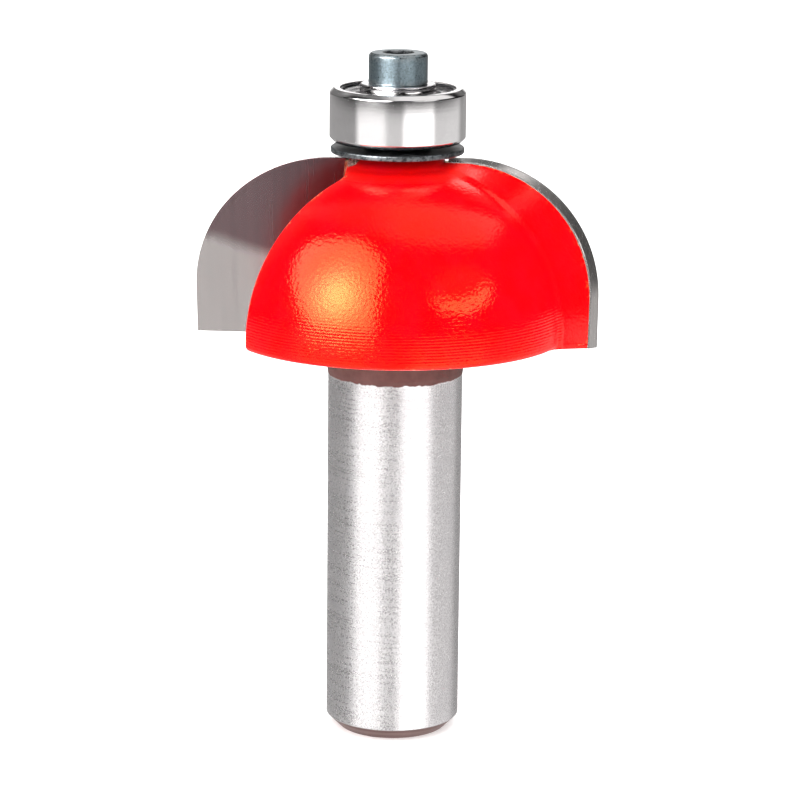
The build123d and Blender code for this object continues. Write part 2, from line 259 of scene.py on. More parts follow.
# =============================================================== materials
def red_enamel():
    """Sprayed red enamel over turned steel: orange peel, turning marks, worn edges, and a painted highlight line along
    the rim.
    """
    m = Mat("red_enamel")
    r = m.radius()
    peel = m.noise(m.coord, 3400, 1, 0.5)
    fine = m.noise(m.coord, 7600, 1, 0.5)
    broad = m.noise(m.coord, 160, 3, 0.5)
    patch = m.noise(m.coord, 420, 4, 0.6)
    # turning marks that telegraph through the paint, strongest low on the dome
    jit = m.mul(m.noise(m.scaled(260, 260, 1500), 1.0, 2, 0.5), 2.4)
    lines = m.math("SINE", m.add(m.mul(m.z, 2 * pi / 0.00027), jit))
    zone = m.mul(m.ramp(m.z, 0.0385, 0.0392), m.ramp(m.z, 0.0408, 0.0436, 1.0, 0.02))
    lines = m.mul(lines, m.mul(zone, m.ramp(broad, 0.30, 0.62, 0.45, 1.0)))
    # the lands behind the tips stand outside the dome's arc and have no turning marks
    arc = m.math("SQRT", m.add(m.math("POWER", m.math("SUBTRACT", r, 0.00020), 2.0),
                               m.math("POWER", m.math("SUBTRACT", m.z, 0.03923), 2.0)))
    land = m.ramp(arc, 0.01600, 0.01645)
    lines = m.mul(lines, m.math("SUBTRACT", 1.0, land))
    # the enamel is thick there, so a land shades much like the dome it grows out of
    flat = m.nt.nodes.new("ShaderNodeNewGeometry").outputs["Normal"]
    dome = m.vec("NORMALIZE", m.combine(m.x, m.y, m.math("SUBTRACT", m.z, 0.03923)))
    lift = m.mul(m.mul(land, m.ramp(m.vec("DOT_PRODUCT", flat, dome), 0.25, 0.55)), 0.80)
    soft = m.vec("NORMALIZE", m.vec("ADD", flat, m.vec("SCALE", m.vec("SUBTRACT", dome, flat), None, lift)))
    b1 = m.bump(peel, 0.70, 0.00003, soft)
    b2 = m.bump(fine, 0.16, 0.00003, b1)
    b3 = m.bump(lines, 0.22, 0.00003, b2)
    deep = m.mix(m.ramp(patch, 0.35, 0.7), (0.900, 0.0003, 0.0028), (0.840, 0.0003, 0.0055))
    speck = m.ramp(m.noise(m.coord, 12500, 1, 0.5), 0.30, 0.44, 1.0, 0.0)
    col = m.mix(m.mul(speck, 0.30), deep, (0.45, 0.0003, 0.003))
    # paint rubbed thin along the edges, and through to the steel in places; the light orange of the thin paint is also
    # a painted highlight line along the dome's rim
    wear = m.attr("wear")
    edge_wear_and_highlight = m.mul(wear, m.ramp(m.noise(m.coord, 1900, 4, 0.7), 0.47, 0.64))
    thin_paint_and_rim_highlight = m.ramp(edge_wear_and_highlight, 0.35, 0.85)
    col = m.mix(thin_paint_and_rim_highlight, col, (0.80, 0.075, 0.016))
    bare = m.mul(m.ramp(edge_wear_and_highlight, 0.80, 0.95), m.attr("bare_ok"))
    cut = m.attr("bare")
    bare = m.math("MAXIMUM", bare, m.ramp(m.add(cut, m.mul(m.noise(m.coord, 3000, 3, 0.6), 0.35)), 0.62, 0.70))
    swirl = m.math("SINE", m.mul(m.noise(m.coord, 900, 2, 0.5), 42.0))
    col = m.mix(bare, col, m.mix(m.ramp(swirl, -0.6, 0.6), (0.20, 0.125, 0.10), (0.72, 0.58, 0.50)))
    # dust and old lubricant settled in the flare round the neck
    neck = m.mul(m.ramp(r, 0.0054, 0.0041), m.ramp(m.z, 0.0540, 0.0548))
    col = m.mix(m.mul(neck, m.ramp(patch, 0.35, 0.65, 0.05, 0.75)), col, (0.90, 0.0006, 0.016))
    m.set(Base_Color=col, Metallic=m.mul(bare, 0.35), Normal=b3, IOR=1.50)
    dusty = m.mul(m.ramp(r, 0.0078, 0.0060), m.ramp(m.z, 0.0530, 0.0540, 0.0, 0.40))
    dusty = m.math("MAXIMUM", dusty, m.mul(land, 0.05))
    m.set(Roughness=m.add(dusty, m.ramp(m.add(m.mul(patch, 0.6), m.mul(fine, 0.4)), 0.3, 0.7, 0.06, 0.10)))
    m.p.inputs["Specular IOR Level"].default_value = 0.55
    m.p.inputs["Specular Tint"].default_value = (1.0, 0.47, 0.13, 1.0)
    return m.m


def ground_steel():
    """The shank: centreless ground, satin, with the unground heat-stained band under the head, darkened further as
    painted shade of the head above it.
    """
    m = Mat("shank_steel")
    hair = m.noise(m.scaled(90, 90, 5200), 1.0, 4, 0.65)
    hair2 = m.noise(m.scaled(260, 260, 11000), 1.0, 2, 0.6)
    grain = m.noise(m.coord, 7200, 3, 0.65)
    blot = m.noise(m.coord, 300, 3, 0.5)
    col = m.mix(m.ramp(grain, 0.30, 0.70), (0.50, 0.485, 0.490), (0.80, 0.785, 0.79))
    col = m.mix(m.ramp(blot, 0.42, 0.68, 0.0, 0.30), col, (0.60, 0.585, 0.60))
    # faint scuffs left by the collet
    scuff = m.mul(m.ramp(m.noise(m.scaled(700, 700, 60), 1.0, 3, 0.6), 0.60, 0.70), m.ramp(m.z, 0.028, 0.020))
    col = m.mix(m.mul(scuff, 0.35), col, (0.40, 0.385, 0.385))
    # unground band: dull brown oxide with a ragged lower edge, made darker as painted shade under the overhanging head
    rag = m.add(m.mul(m.noise(m.coord, 1500, 4, 0.65), 0.0006), m.mul(m.noise(m.coord, 350, 2, 0.5), 0.0003))
    band = m.ramp(m.add(m.z, rag), 0.03512, 0.03522)
    painted_dark_tone = m.mix(m.ramp(m.noise(m.coord, 900, 4, 0.6), 0.3, 0.7), (0.087, 0.034, 0.0285), (0.115, 0.048, 0.041))
    # end chamfer, turned, coloured a darker brown-grey
    endz = m.ramp(m.z, 0.00118, 0.00108)
    turned = m.noise(m.scaled(120, 120, 9000), 1.0, 2, 0.5)
    endtone = m.mix(m.ramp(turned, 0.35, 0.65), (0.20, 0.118, 0.110), (0.31, 0.205, 0.190))
    col = m.mix(band, col, painted_dark_tone)
    col = m.mix(endz, col, endtone)
    dull = m.math("MAXIMUM", band, m.mul(endz, 0.55))
    m.set(Base_Color=col, Metallic=m.math("SUBTRACT", 1.0, m.mul(band, 0.80)))
    rough = m.ramp(m.add(m.mul(hair, 0.5), m.mul(grain, 0.5)), 0.30, 0.70, 0.22, 0.36)
    m.set(Roughness=m.add(rough, m.mul(dull, 0.30)))
    b = m.bump(hair, 0.16, 0.00002)
    b = m.bump(grain, 0.20, 0.00002, b)
    b = m.bump(hair2, 0.10, 0.00001, b)
    m.set(Normal=b)
    return m.m


def steel(name, base, lo, hi, pull, grain_scale, grain, worn=None, metallic=1.0, tint=None, bumpy=0.12, spot=None):
    """Turned or pressed steel: rings round the axis, fine grain, and an optional worn edge."""
    m = Mat(name)
    ring = m.noise(m.scaled(60, 60, pull), 1.0, 4, 0.6)
    face = m.noise(m.combine(m.mul(m.radius(), pull), 0.0, m.mul(m.z, 400)), 1.0, 3, 0.6)
    speck = m.noise(m.coord, grain_scale, 3, 0.6)
    dark = tuple(c * (1 - grain) for c in base)
    col = m.mix(m.ramp(speck, 0.3, 0.7), dark, base)
    col = m.mix(m.ramp(m.noise(m.coord, 500, 3, 0.6), 0.35, 0.70, 0.0, 0.5), col, tint or base)
    if spot:
        col = m.mix(m.ramp(m.noise(m.coord, 1500, 5, 0.75), 0.55, 0.68, 0.0, 0.75), col, spot)
    met = metallic
    if worn:
        w = m.mul(m.attr("wear"), m.ramp(m.noise(m.coord, 2600, 4, 0.7), 0.36, 0.60))
        col = m.mix(w, col, worn)
        met = m.add(m.mul(w, 1.0 - metallic), metallic) if metallic < 1 else 1.0
    m.set(Base_Color=col, Metallic=met, Roughness=m.ramp(m.add(m.mul(ring, 0.5), m.mul(speck, 0.5)), 0.3, 0.7, lo, hi))
    b = m.bump(m.add(ring, face), bumpy, 0.00001)
    m.set(Normal=m.bump(speck, bumpy, 0.00001, b))
    return m.m


def carbide():
    """Ground tungsten carbide: grey, with grinding streaks and a dark purple-brown painted reflection across the upper
    rake face towards the braze.
    """
    m = Mat("carbide_ground")
    streak = m.noise(m.scaled(1500, 60, 34, (0, rad(7), 0)), 1.0, 4, 0.6)
    wide = m.noise(m.scaled(420, 40, 26, (0, rad(7), 0)), 1.0, 2, 0.5)
    grain = m.noise(m.coord, 8200, 2, 0.6)
    r = m.radius()
    base = m.mix(m.ramp(m.add(m.mul(streak, 0.5), m.mul(grain, 0.5)), 0.30, 0.70), (0.465, 0.440, 0.430), (0.505, 0.480, 0.467))
    # the painted reflection follows a line that leans across the face, soft at its edge
    front = m.add(m.mul(m.math("SUBTRACT", r, 0.0183), 0.31), 0.0474)
    lift = m.add(m.math("SUBTRACT", m.z, front), m.mul(m.math("SUBTRACT", m.noise(m.coord, 260, 2, 0.5), 0.5), 0.0012))
    painted_reflection = m.ramp(lift, -0.0008, 0.0012)
    painted_reflection = m.mul(painted_reflection, m.attr("rake"))
    painted_dark_tone = m.mix(m.ramp(m.add(m.mul(r, 55), m.mul(wide, 0.42)), 0.42, 1.06), (0.105, 0.064, 0.072), (0.185, 0.132, 0.138))
    m.set(Base_Color=m.mix(painted_reflection, base, painted_dark_tone), Metallic=0.92)
    m.set(Roughness=m.ramp(streak, 0.3, 0.7, 0.22, 0.28))
    b = m.bump(streak, 0.035, 0.00001)
    m.set(Normal=m.bump(grain, 0.06, 0.00001, b))
    return m.m


def braze_metal():
    m = Mat("silver_braze")
    n = m.noise(m.coord, 2600, 4, 0.65)
    col = m.mix(m.ramp(n, 0.35, 0.65), (0.46, 0.30, 0.17), (0.72, 0.63, 0.48))
    m.set(Base_Color=col, Metallic=0.35, Roughness=m.ramp(n, 0.3, 0.7, 0.30, 0.50))
    m.set(Normal=m.bump(n, 0.5, 0.00003))
    return m.m


PAINT = red_enamel()
SHANK = ground_steel()
CARBIDE = carbide()
BRAZE = braze_metal()
RING = steel("bearing_ring_ground", (0.80, 0.79, 0.79), 0.09, 0.15, 5200, 9000, 0.10, tint=(0.70, 0.685, 0.69), bumpy=0.05)
INNER = steel("bearing_land", (0.70, 0.68, 0.68), 0.14, 0.26, 5200, 9000, 0.15)
SHIELD = steel("shield_pressed", (0.80, 0.79, 0.80), 0.20, 0.32, 2600, 6000, 0.18)
WIRE = steel("spring_wire", (0.16, 0.16, 0.17), 0.25, 0.40, 2000, 7000, 0.25)
CAGE = steel("cage_pressed", (0.55, 0.54, 0.53), 0.22, 0.34, 2600, 6000, 0.15)
BALL = steel("ball_polished", (0.82, 0.82, 0.83), 0.05, 0.08, 1500, 9000, 0.04, bumpy=0.02)
BRIGHT = steel("lock_washer_bright", (0.86, 0.85, 0.86), 0.14, 0.24, 3000, 6500, 0.12, tint=(0.75, 0.73, 0.73))
BLACK = steel("black_oxide_washer", (0.022, 0.028, 0.032), 0.30, 0.46, 2400, 5200, 0.5,
              worn=(0.24, 0.26, 0.27), metallic=0.75, spot=(0.040, 0.048, 0.053))
OXIDE = steel("black_oxide_screw", (0.245, 0.315, 0.350), 0.26, 0.38, 4200, 5200, 0.42,
              worn=(0.40, 0.43, 0.44), metallic=1.0, tint=(0.18, 0.235, 0.260), bumpy=0.22, spot=(0.13, 0.17, 0.185))
# a much darker copy of the screw's oxide for the hex socket: painted shade inside the recess
SOCKET_SHADE = steel("socket_painted_shade", (0.05, 0.055, 0.058), 0.30, 0.45, 3000, 5200, 0.4, worn=(0.30, 0.31, 0.32), metallic=0.9)


# ================================================= dimensions, in millimetres
HOOK, SHEAR, TIP_T, BRAZE_T, BRAZE_W = 0.80, rad(7.4), 1.60, 0.08, 0.28
ZC, COVE_R, COVE_R0, ZT, UNDER, LOW = 42.47, 12.70, 6.35, 55.17, 38.42, 37.88
DOME_R, DOME_CR, DOME_CZ, CREST_R, NECK_R, SEAT_Z = 16.00, 0.20, 39.23, 4.95, 3.70, 55.70
RIM = 0.55
ROOT_TOP, ROOT_BOT = 4.45, 6.60
HEEL = (13.10, 9.35, rad(29.2))
SS, CS = sin(SHEAR), cos(SHEAR)
W_TOP, W_BOT = (ZT - ZC) / CS, (LOW - ZC) / CS
STUD_R, STUD_Z = 2.37, 61.52
Z0 = SEAT_Z + 0.52 + 0.52
Z1 = Z0 + 4.978


def slab(r, z, d):
    """(u, w) on the plane d behind the rake face of the point of the turned surface (r, z)."""
    w = (z - ZC - d * SS) / CS
    y = -HOOK + w * SS - d * CS
    return math.sqrt(max(r * r - y * y, 0.01)), w


def world_of(u, w, d):
    return (u, -HOOK + w * SS - d * CS, ZC + w * CS + d * SS)


def root_u(w):
    return ROOT_BOT + (ROOT_TOP - ROOT_BOT) * (w - W_BOT) / (W_TOP - W_BOT)


def dome_r(z):
    return DOME_CR + math.sqrt(max(DOME_R ** 2 - (z - DOME_CZ) ** 2, 0.0))


# ==================================================================== body
RIM_R = DOME_CR + math.sqrt((DOME_R - RIM) ** 2 - (UNDER + RIM - DOME_CZ) ** 2)
RIM_A = math.atan2(UNDER + RIM - DOME_CZ, RIM_R - DOME_CR)


def head_profile():
    """Outer radius of the turned head as a function of height: rim, dome, flare, neck."""
    crest_z = DOME_CZ + math.sqrt(DOME_R ** 2 - (CREST_R - DOME_CR) ** 2)
    pts = []
    for i in range(13):
        a = -pi / 2 + (pi / 2 + RIM_A) * i / 12
        pts.append((RIM_R + RIM * cos(a), UNDER + RIM + RIM * sin(a)))
    tail = rounded([(dome_r(crest_z - 1.2), crest_z - 1.2, 0), (CREST_R, crest_z, 0.9), (NECK_R, 55.48, 0.30),
                    (NECK_R, SEAT_Z, 0)], closed=False, k=8)
    z_end = tail[1][1]
    z_rim = UNDER + RIM + RIM * sin(RIM_A)
    for i in range(1, 160):
        z = z_rim + (z_end - z_rim) * i / 160
        pts.append((dome_r(z), z))
    pts += tail[1:]
    z = np.array([p[1] for p in pts])
    r = np.array([p[0] for p in pts])
    o = np.argsort(z, kind="stable")
    return lambda q: float(np.interp(q, z[o], r[o]))


R_AT = head_profile()
LAND_N, D0, LAND_LEN = 15, TIP_T + BRAZE_T, 2.70
S_LIST = [(i / (LAND_N - 1)) ** 1.25 for i in range(LAND_N)]


def land_tables():
    """For each depth behind the seat, the land's distance out against height."""
    tabs = []
    for s in S_LIST:
        g, d = 1 - (1 - s) ** 1.9, D0 + LAND_LEN * s
        zs, xs = [], []
        for i in range(61):
            q = i / 60
            a = pi / 2 * (1 - q)
            r = COVE_R0 - 0.56 + (COVE_R - 0.14) * cos(a)
            z = ZC - 0.14 + (COVE_R - 0.14) * sin(a)
            u, w = slab(r, z, D0)
            b = rad(76) * (1 - q) + rad(9) * q
            ud, wd = slab(DOME_CR + (DOME_R - 0.16) * cos(b), DOME_CZ + (DOME_R - 0.16) * sin(b), d)
            uu, ww = u + (ud - u) * g, w + (wd - w) * g
            zs.append(ZC + ww * CS + d * SS)
            xs.append(uu)
        side = (1 - g) * slab(COVE_R0 + COVE_R - 0.70, LOW + D0 * SS, D0)[0] \
            + g * (slab(dome_r(UNDER + 1.0), LOW + d * SS, d)[0] - 0.16)
        zs.append(ZC + W_BOT * CS + d * SS - 1.2)
        xs.append(side)
        o = np.argsort(zs)
        tabs.append((np.array(zs)[o], np.array(xs)[o], max(zs)))
    return tabs


LAND = land_tables()


def land_x(z, k):
    zs, xs, top = LAND[k]
    if z > top:
        return float(xs[-1]) - (z - top) * 30
    return float(np.interp(z, zs, xs))


def seat_y(z, d):
    """y of the leaning plane d behind the rake face at the height z."""
    w = (z - ZC - d * SS) / CS
    return -HOOK + w * SS - d * CS


def smax(a, b, k):
    if k < 1e-6:
        return max(a, b)
    h = max(0.0, min(1.0, 0.5 + 0.5 * (a - b) / k))
    return b * (1 - h) + a * h + k * h * (1 - h)


def gullet_path(z, yf):
    """Polyline of the gullet's wall at one height, in front of the tip at +X: heel wall, root arc, floor."""
    hx, hy, ha = HEEL

    def floor_x(y):
        w = (y + HOOK) * SS + (z - ZC) * CS
        return root_u(w)

    x = floor_x(4.5)
    for _ in range(4):
        y = hy + (x - hx) * tan(ha)
        x = floor_x(y)
    corner = (x, y)
    d1, d2 = (cos(ha), sin(ha)), unit((floor_x(y - 3) - x, -3.0))
    c = d1[0] * d2[0] + d1[1] * d2[1]
    half = math.acos(c) / 2
    q = 1.2
    t = q / tan(half)
    bis = unit((d1[0] + d2[0], d1[1] + d2[1]))
    cen = (corner[0] + bis[0] * q / sin(half), corner[1] + bis[1] * q / sin(half))
    p0 = (corner[0] + d1[0] * t, corner[1] + d1[1] * t)
    p1 = (corner[0] + d2[0] * t, corner[1] + d2[1] * t)
    a0, a1 = math.atan2(p0[1] - cen[1], p0[0] - cen[0]), math.atan2(p1[1] - cen[1], p1[0] - cen[0])
    while a1 - a0 > pi:
        a1 -= 2 * pi
    while a1 - a0 < -pi:
        a1 += 2 * pi
    arc = [(cen[0] + q * cos(a0 + (a1 - a0) * i / 12), cen[1] + q * sin(a0 + (a1 - a0) * i / 12)) for i in range(13)]
    far = (corner[0] + d1[0] * 30, corner[1] + d1[1] * 30)
    floor = [(floor_x(p1[1] + (yf - p1[1]) * i / 12), p1[1] + (yf - p1[1]) * i / 12) for i in range(1, 13)]
    return [far] + arc + floor


def clip_path(path, R, yf):
    """The part of the gullet wall inside the turned head; its first point lies on the head's surface."""
    for i, (a, b) in enumerate(zip(path, path[1:])):
        ra, rb = math.hypot(*a), math.hypot(*b)
        if ra > R >= rb:
            lo, hi = 0.0, 1.0
            for _ in range(40):
                m = (lo + hi) / 2
                p = (a[0] + (b[0] - a[0]) * m, a[1] + (b[1] - a[1]) * m)
                if math.hypot(*p) > R:
                    lo = m
                else:
                    hi = m
            return [p] + path[i + 1:], i
    return [(math.sqrt(max(R * R - yf * yf, 0.01)), yf)], len(path)


def along(path, l):
    for a, b in zip(path, path[1:]):
        d = math.hypot(b[0] - a[0], b[1] - a[1])
        if l <= d or d < 1e-9:
            if d > 1e-9:
                return (a[0] + (b[0] - a[0]) * l / d, a[1] + (b[1] - a[1]) * l / d)
        l -= d
    return path[-1]


def length(path):
    return sum(math.hypot(b[0] - a[0], b[1] - a[1]) for a, b in zip(path, path[1:]))


N2, N3, N4, N5, N6, N7 = 104, 6, 16, 9, 12, 20


def half_contour(z):
    """Half of the head's outline at one height, with a wear value at each point."""
    R, yf = R_AT(z), seat_y(z, D0)
    pts, wear, bare_ok, kind = [], [], [], []
    for k, s in enumerate(S_LIST):
        y = seat_y(z, D0 + LAND_LEN * s)
        xc = math.sqrt(max(R * R - y * y, 0.01))
        x = smax(land_x(z, k), xc, 0.85 * math.sqrt(1 - s) * min(1, s * 4))
        pts.append((x, y))
        wear.append(max(0.0, 1 - s / 0.14) if land_x(z, 0) > xc + 0.05 else 0.0)
        kind.append(1)
    th_end = math.atan2(pts[-1][1], pts[-1][0])
    clipped, at = clip_path(gullet_path(z, yf), R, yf)
    total = length(clipped)
    rho = min(0.34, total * 0.3)
    e = clipped[0]
    th_e = math.atan2(e[1], e[0])
    th_a = th_e + rho / R
    t0, t1 = th_end, th_a - pi
    for i in range(1, N2):
        th = t0 + (t1 - t0) * i / (N2 - 1)
        pts.append((R * cos(th), R * sin(th)))
        near = (N2 - 1 - i) * abs(t1 - t0) / (N2 - 1) * R
        wear.append(max(0.0, 1 - near / 0.30) if total > 1.5 else 0.0)
        kind.append(2)
    g = []
    a, b = (R * cos(th_a), R * sin(th_a)), along(clipped, rho)
    for i in range(1, N3 + 1):
        t = i / N3
        g.append(((1 - t) ** 2 * a[0] + 2 * t * (1 - t) * e[0] + t * t * b[0],
                  (1 - t) ** 2 * a[1] + 2 * t * (1 - t) * e[1] + t * t * b[1]))
        wear.append(1.0 if total > 1.5 else 0.0)
        kind.append(3)
    # run of the heel wall, of the root arc and of the floor, each with its own points
    l_wall = length(clipped[:max(1, 2 - at)]) if at == 0 else 0.0
    l_arc = length(clipped[(1 if at == 0 else 0):(14 if at == 0 else max(1, 14 - at))]) if at < 13 else 0.0
    m0 = min(total, max(rho, l_wall))
    m1 = min(total, max(m0, l_wall + l_arc))
    for lo, hi, n, kd in ((rho, m0, N4, 4), (m0, m1, N5, 5), (m1, total, N6, 6)):
        for i in range(1, n + 1):
            g.append(along(clipped, lo + (hi - lo) * i / n))
            wear.append(0.0)
            kind.append(kd)
    seat = g[-1]
    tip = pts[0]
    for i in range(1, N7):
        t = i / N7
        g.append((seat[0] + (tip[0] - seat[0]) * t, seat[1] + (tip[1] - seat[1]) * t))
        wear.append(max(0.0, 1 - (1 - t) * 30))
        kind.append(7)
    pts += [(-x, -y) for x, y in g]
    return pts, wear, kind


def head_levels():
    zs = [UNDER + 0.12 * (1 - cos(pi / 2 * i / 4)) for i in range(5)]
    zs += [UNDER + RIM + RIM * sin(-pi / 2 + (pi / 2 + RIM_A) * i / 10) for i in range(11)]
    zs += [UNDER + RIM + (42.2 - UNDER - RIM) * i / 10 for i in range(1, 11)]
    zs += [ZC - 0.14 + (COVE_R - 0.14) * sin(rad(1.5 * i)) for i in range(0, 61)]
    zs += [54.90, 54.915, 54.94, 54.97, 55.0, 55.08, 55.16, 55.24, 55.32, 55.40, 55.46, 55.52, 55.58, 55.64, 55.70]
    out = []
    for z in sorted(zs):
        if not out or z - out[-1] > 0.004:
            out.append(z)
    return out


def build_body():
    bm = bmesh.new()
    L_wear = bm.verts.layers.float.new("wear")
    L_bare = bm.verts.layers.float.new("bare")
    L_ok = bm.verts.layers.float.new("bare_ok")
    rings = []
    for z in head_levels():
        pts, wear, kind = half_contour(z)
        full = pts + [(-x, -y) for x, y in pts]
        wear, kind = wear * 2, kind * 2
        n = len(full)
        drop = max(0.0, UNDER + 0.12 - z)
        inset = 0.12 - math.sqrt(max(0.0, 0.12 ** 2 - drop ** 2)) if drop > 0 else 0.0
        ring = []
        for i, (x, y) in enumerate(full):
            if inset > 0 and kind[i] != 2:
                a, b = full[i - 1], full[(i + 1) % n]
                t = unit((b[0] - a[0], b[1] - a[1]))
                # the outline runs clockwise seen from above, so the material lies to its right
                x, y = x + t[1] * inset, y - t[0] * inset
            v = bm.verts.new((x * MM, y * MM, z * MM))
            w = wear[i]
            # the rim's edge gets a wear value too, which the enamel turns light orange: wear and a painted highlight
            # line along the rim
            if kind[i] in (1, 2) and math.hypot(x, y) > 14.5:
                w = max(w, 1 - abs(z - UNDER - 0.12) / 0.20)
            v[L_wear] = w
            v[L_ok] = 1.0 if kind[i] in (1, 7) or z > 53.5 else 0.35
            # ground through the paint where the floor of the gullet runs out under the washer
            if z > 54.3:
                deg = math.degrees(math.atan2(y, x)) % 180
                v[L_bare] = max(0.0, 1 - abs(deg - 22) / 26) * min(1.0, (z - 54.3) / 0.5)
            ring.append(v)
        rings.append(ring)
    n = len(rings[0])
    for a, b in zip(rings, rings[1:]):
        for i in range(n):
            j = (i + 1) % n
            bm.faces.new((a[i], a[j], b[j], b[i]))
    # seat, stud and tapped hole
    top = rings[-1]
    ang = [math.atan2(v.co.y, v.co.x) for v in top]
    prev = top
    for r, z in ((STUD_R + 0.10, SEAT_Z), (STUD_R, SEAT_Z + 0.05), (STUD_R, STUD_Z - 0.25), (STUD_R - 0.25, STUD_Z), (1.62, STUD_Z),
                 (1.5, STUD_Z - 0.12), (1.5, STUD_Z - 8.6)):
        ring = [bm.verts.new((r * cos(a) * MM, r * sin(a) * MM, z * MM)) for a in ang]
        for i in range(n):
            j = (i + 1) % n
            bm.faces.new((prev[i], prev[j], ring[j], ring[i]))
        prev = ring
    tipv = bm.verts.new((0, 0, (STUD_Z - 9.35) * MM))
    for i in range(n):
        bm.faces.new((prev[i], prev[(i + 1) % n], tipv))
    # collar, shank and end
    # the land's lower end hangs a little below the underside, with the seat
    low_w, strips = W_BOT + 0.03, []
    for k in range(LAND_N):
        d = D0 + LAND_LEN * S_LIST[k]
        x, y, z = world_of(1.0, low_w, d)
        if z > UNDER + 0.02:
            break
        strips.append((float(LAND[k][1][0]), seat_y(UNDER + 0.3, d), y, z))
    for sgn in (1, -1):
        rows = []
        for k, (xo, y_top, y, z) in enumerate(strips):
            r_in = root_u(low_w) - 0.6
            rows.append([bm.verts.new((sgn * a * MM, sgn * b * MM, c * MM)) for a, b, c in
                         ((r_in, y, z), (xo - 0.06, y, z), (xo, y, z + 0.06), (xo, y_top, UNDER + 0.3), (r_in, y_top, UNDER + 0.3))])
        for row in rows:
            for i, v in enumerate(row):
                v[L_ok] = 1.0
                v[L_wear] = 0.6 if i in (1, 2) else 0.0
        for a, b in zip(rows, rows[1:]):
            for i in range(5):
                j = (i + 1) % 5
                bm.faces.new((a[i], a[j], b[j], b[i]))
        bm.faces.new(rows[0])
        bm.faces.new(rows[-1])
    prof = rounded([(6.78, UNDER, 0), (6.43, UNDER, 0.28), (6.43, 35.16, 0.05), (6.35, 34.60, 0.05), (6.35, 1.20, 0.10),
                    (5.15, 0.0, 0.12), (0, 0, 0)], closed=False, k=6)
    prof = dense(prof, 1.2)
    low = lathe(bm, prof, seg=192, closed=False, mat=1)
    edges = []
    for loop in (rings[0], low[0]):
        for i in range(len(loop)):
            e = bm.edges.get((loop[i], loop[(i + 1) % len(loop)]))
            if e:
                edges.append(e)
    made = bmesh.ops.triangle_fill(bm, use_beauty=True, use_dissolve=False, edges=edges)
    for f in made["geom"]:
        if isinstance(f, bmesh.types.BMFace):
            f.material_index = 0
    return to_object("router_bit_body", bm, [PAINT, SHANK], sharp=33)


body = build_body()
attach(body, "cutter")
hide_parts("body")


# ================================================================== tips
def tip_outline(d, dr, dz, inset, gap, low, n=72):
    arc = []
    for i in range(n):
        a = pi / 2 * (1 - i / (n - 1))
        arc.append(slab(COVE_R0 - dr + (COVE_R - inset) * cos(a), ZC - dz + (COVE_R - inset) * sin(a), d))
    side = slab(COVE_R0 + COVE_R - dr - inset, LOW + d * SS, d)[0]
    w_hi = arc[0][1]
    run = [(arc[-1][0] + (side - arc[-1][0]) * i / 8, arc[-1][1] + (W_BOT + low - arc[-1][1]) * i / 8) for i in range(1, 9)]
    inner_lo, inner_hi = (root_u(W_BOT + low) + gap, W_BOT + low), (root_u(w_hi) + gap, w_hi)
    bottom = [(side + (inner_lo[0] - side) * i / 8, W_BOT + low) for i in range(1, 9)]
    inner = [(inner_lo[0] + (inner_hi[0] - inner_lo[0]) * i / 16, inner_lo[1] + (inner_hi[1] - inner_lo[1]) * i / 16) for i in range(1, 17)]
    m = 8
    top = [(inner_hi[0] + (arc[0][0] - inner_hi[0]) * i / m, w_hi) for i in range(1, m)]
    return arc + run + bottom + inner + top


def shrunk(pts, q):
    """Moves a clockwise outline inwards by q."""
    out, n = [], len(pts)
    for i, (u, w) in enumerate(pts):
        a, b = pts[i - 1], pts[(i + 1) % n]
        t1, t2 = unit((u - a[0], w - a[1])), unit((b[0] - u, b[1] - w))
        n1, n2 = (t1[1], -t1[0]), (t2[1], -t2[0])
        m = (n1[0] + n2[0], n1[1] + n2[1])
        k = 1 + n1[0] * n2[0] + n1[1] * n2[1]
        out.append((u + m[0] * q / max(k, 0.35), w + m[1] * q / max(k, 0.35)))
    return out


def build_tip(name, turn):
    bm = bmesh.new()
    lay = bm.verts.layers.float.new("rake")
    wl = bm.verts.layers.float.new("wear")
    gap_front, gap_back = BRAZE_W, BRAZE_W
    front = tip_outline(0.0, 0.0, 0.0, 0.0, gap_front, 0.0)
    back = tip_outline(TIP_T, 0.56, 0.14, 0.0, gap_back, 0.0)
    m = min(len(front), len(back))
    if len(front) != len(back):
        raise RuntimeError("tip outlines differ")
    def blend(t, q):
        mid = [(a[0] + (b[0] - a[0]) * t, a[1] + (b[1] - a[1]) * t) for a, b in zip(front, back)]
        return shrunk(mid, q)
    stack = [(0.0, 0.045, 1.0), (0.020, 0.012, 0.6), (0.05, 0.0, 0.0), (0.35, 0.0, 0.0), (0.7, 0.0, 0.0), (1.1, 0.0, 0.0),
             (TIP_T - 0.04, 0.0, 0.0), (TIP_T, 0.04, 0.0)]
    rings = []
    for d, q, rk in stack:
        ring = []
        for u, w in blend(d / TIP_T, q):
            x, y, z = world_of(u, w, d)
            if turn:
                x, y = -x, -y
            v = bm.verts.new((x * MM, y * MM, z * MM))
            v[lay] = rk
            v[wl] = 1.0 if 0.0 <= d <= 0.03 else 0.0
            ring.append(v)
        rings.append(ring)
    n = len(rings[0])
    for a, b in zip(rings, rings[1:]):
        for i in range(n):
            j = (i + 1) % n
            bm.faces.new((a[i], a[j], b[j], b[i]))
    for ring, rk in ((rings[0], 1.0), (rings[-1], 0.0)):
        edges = [bm.edges.get((ring[i], ring[(i + 1) % n])) for i in range(n)]
        bmesh.ops.triangle_fill(bm, use_beauty=True, use_dissolve=False, edges=edges)
    ob = to_object(name, bm, [CARBIDE], sharp=28)
    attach(ob, "cutter")
    return ob


tip1 = build_tip("carbide_right", False)
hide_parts("carbide_tip_1")
tip2 = build_tip("carbide_left", True)
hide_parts("carbide_tip_2")


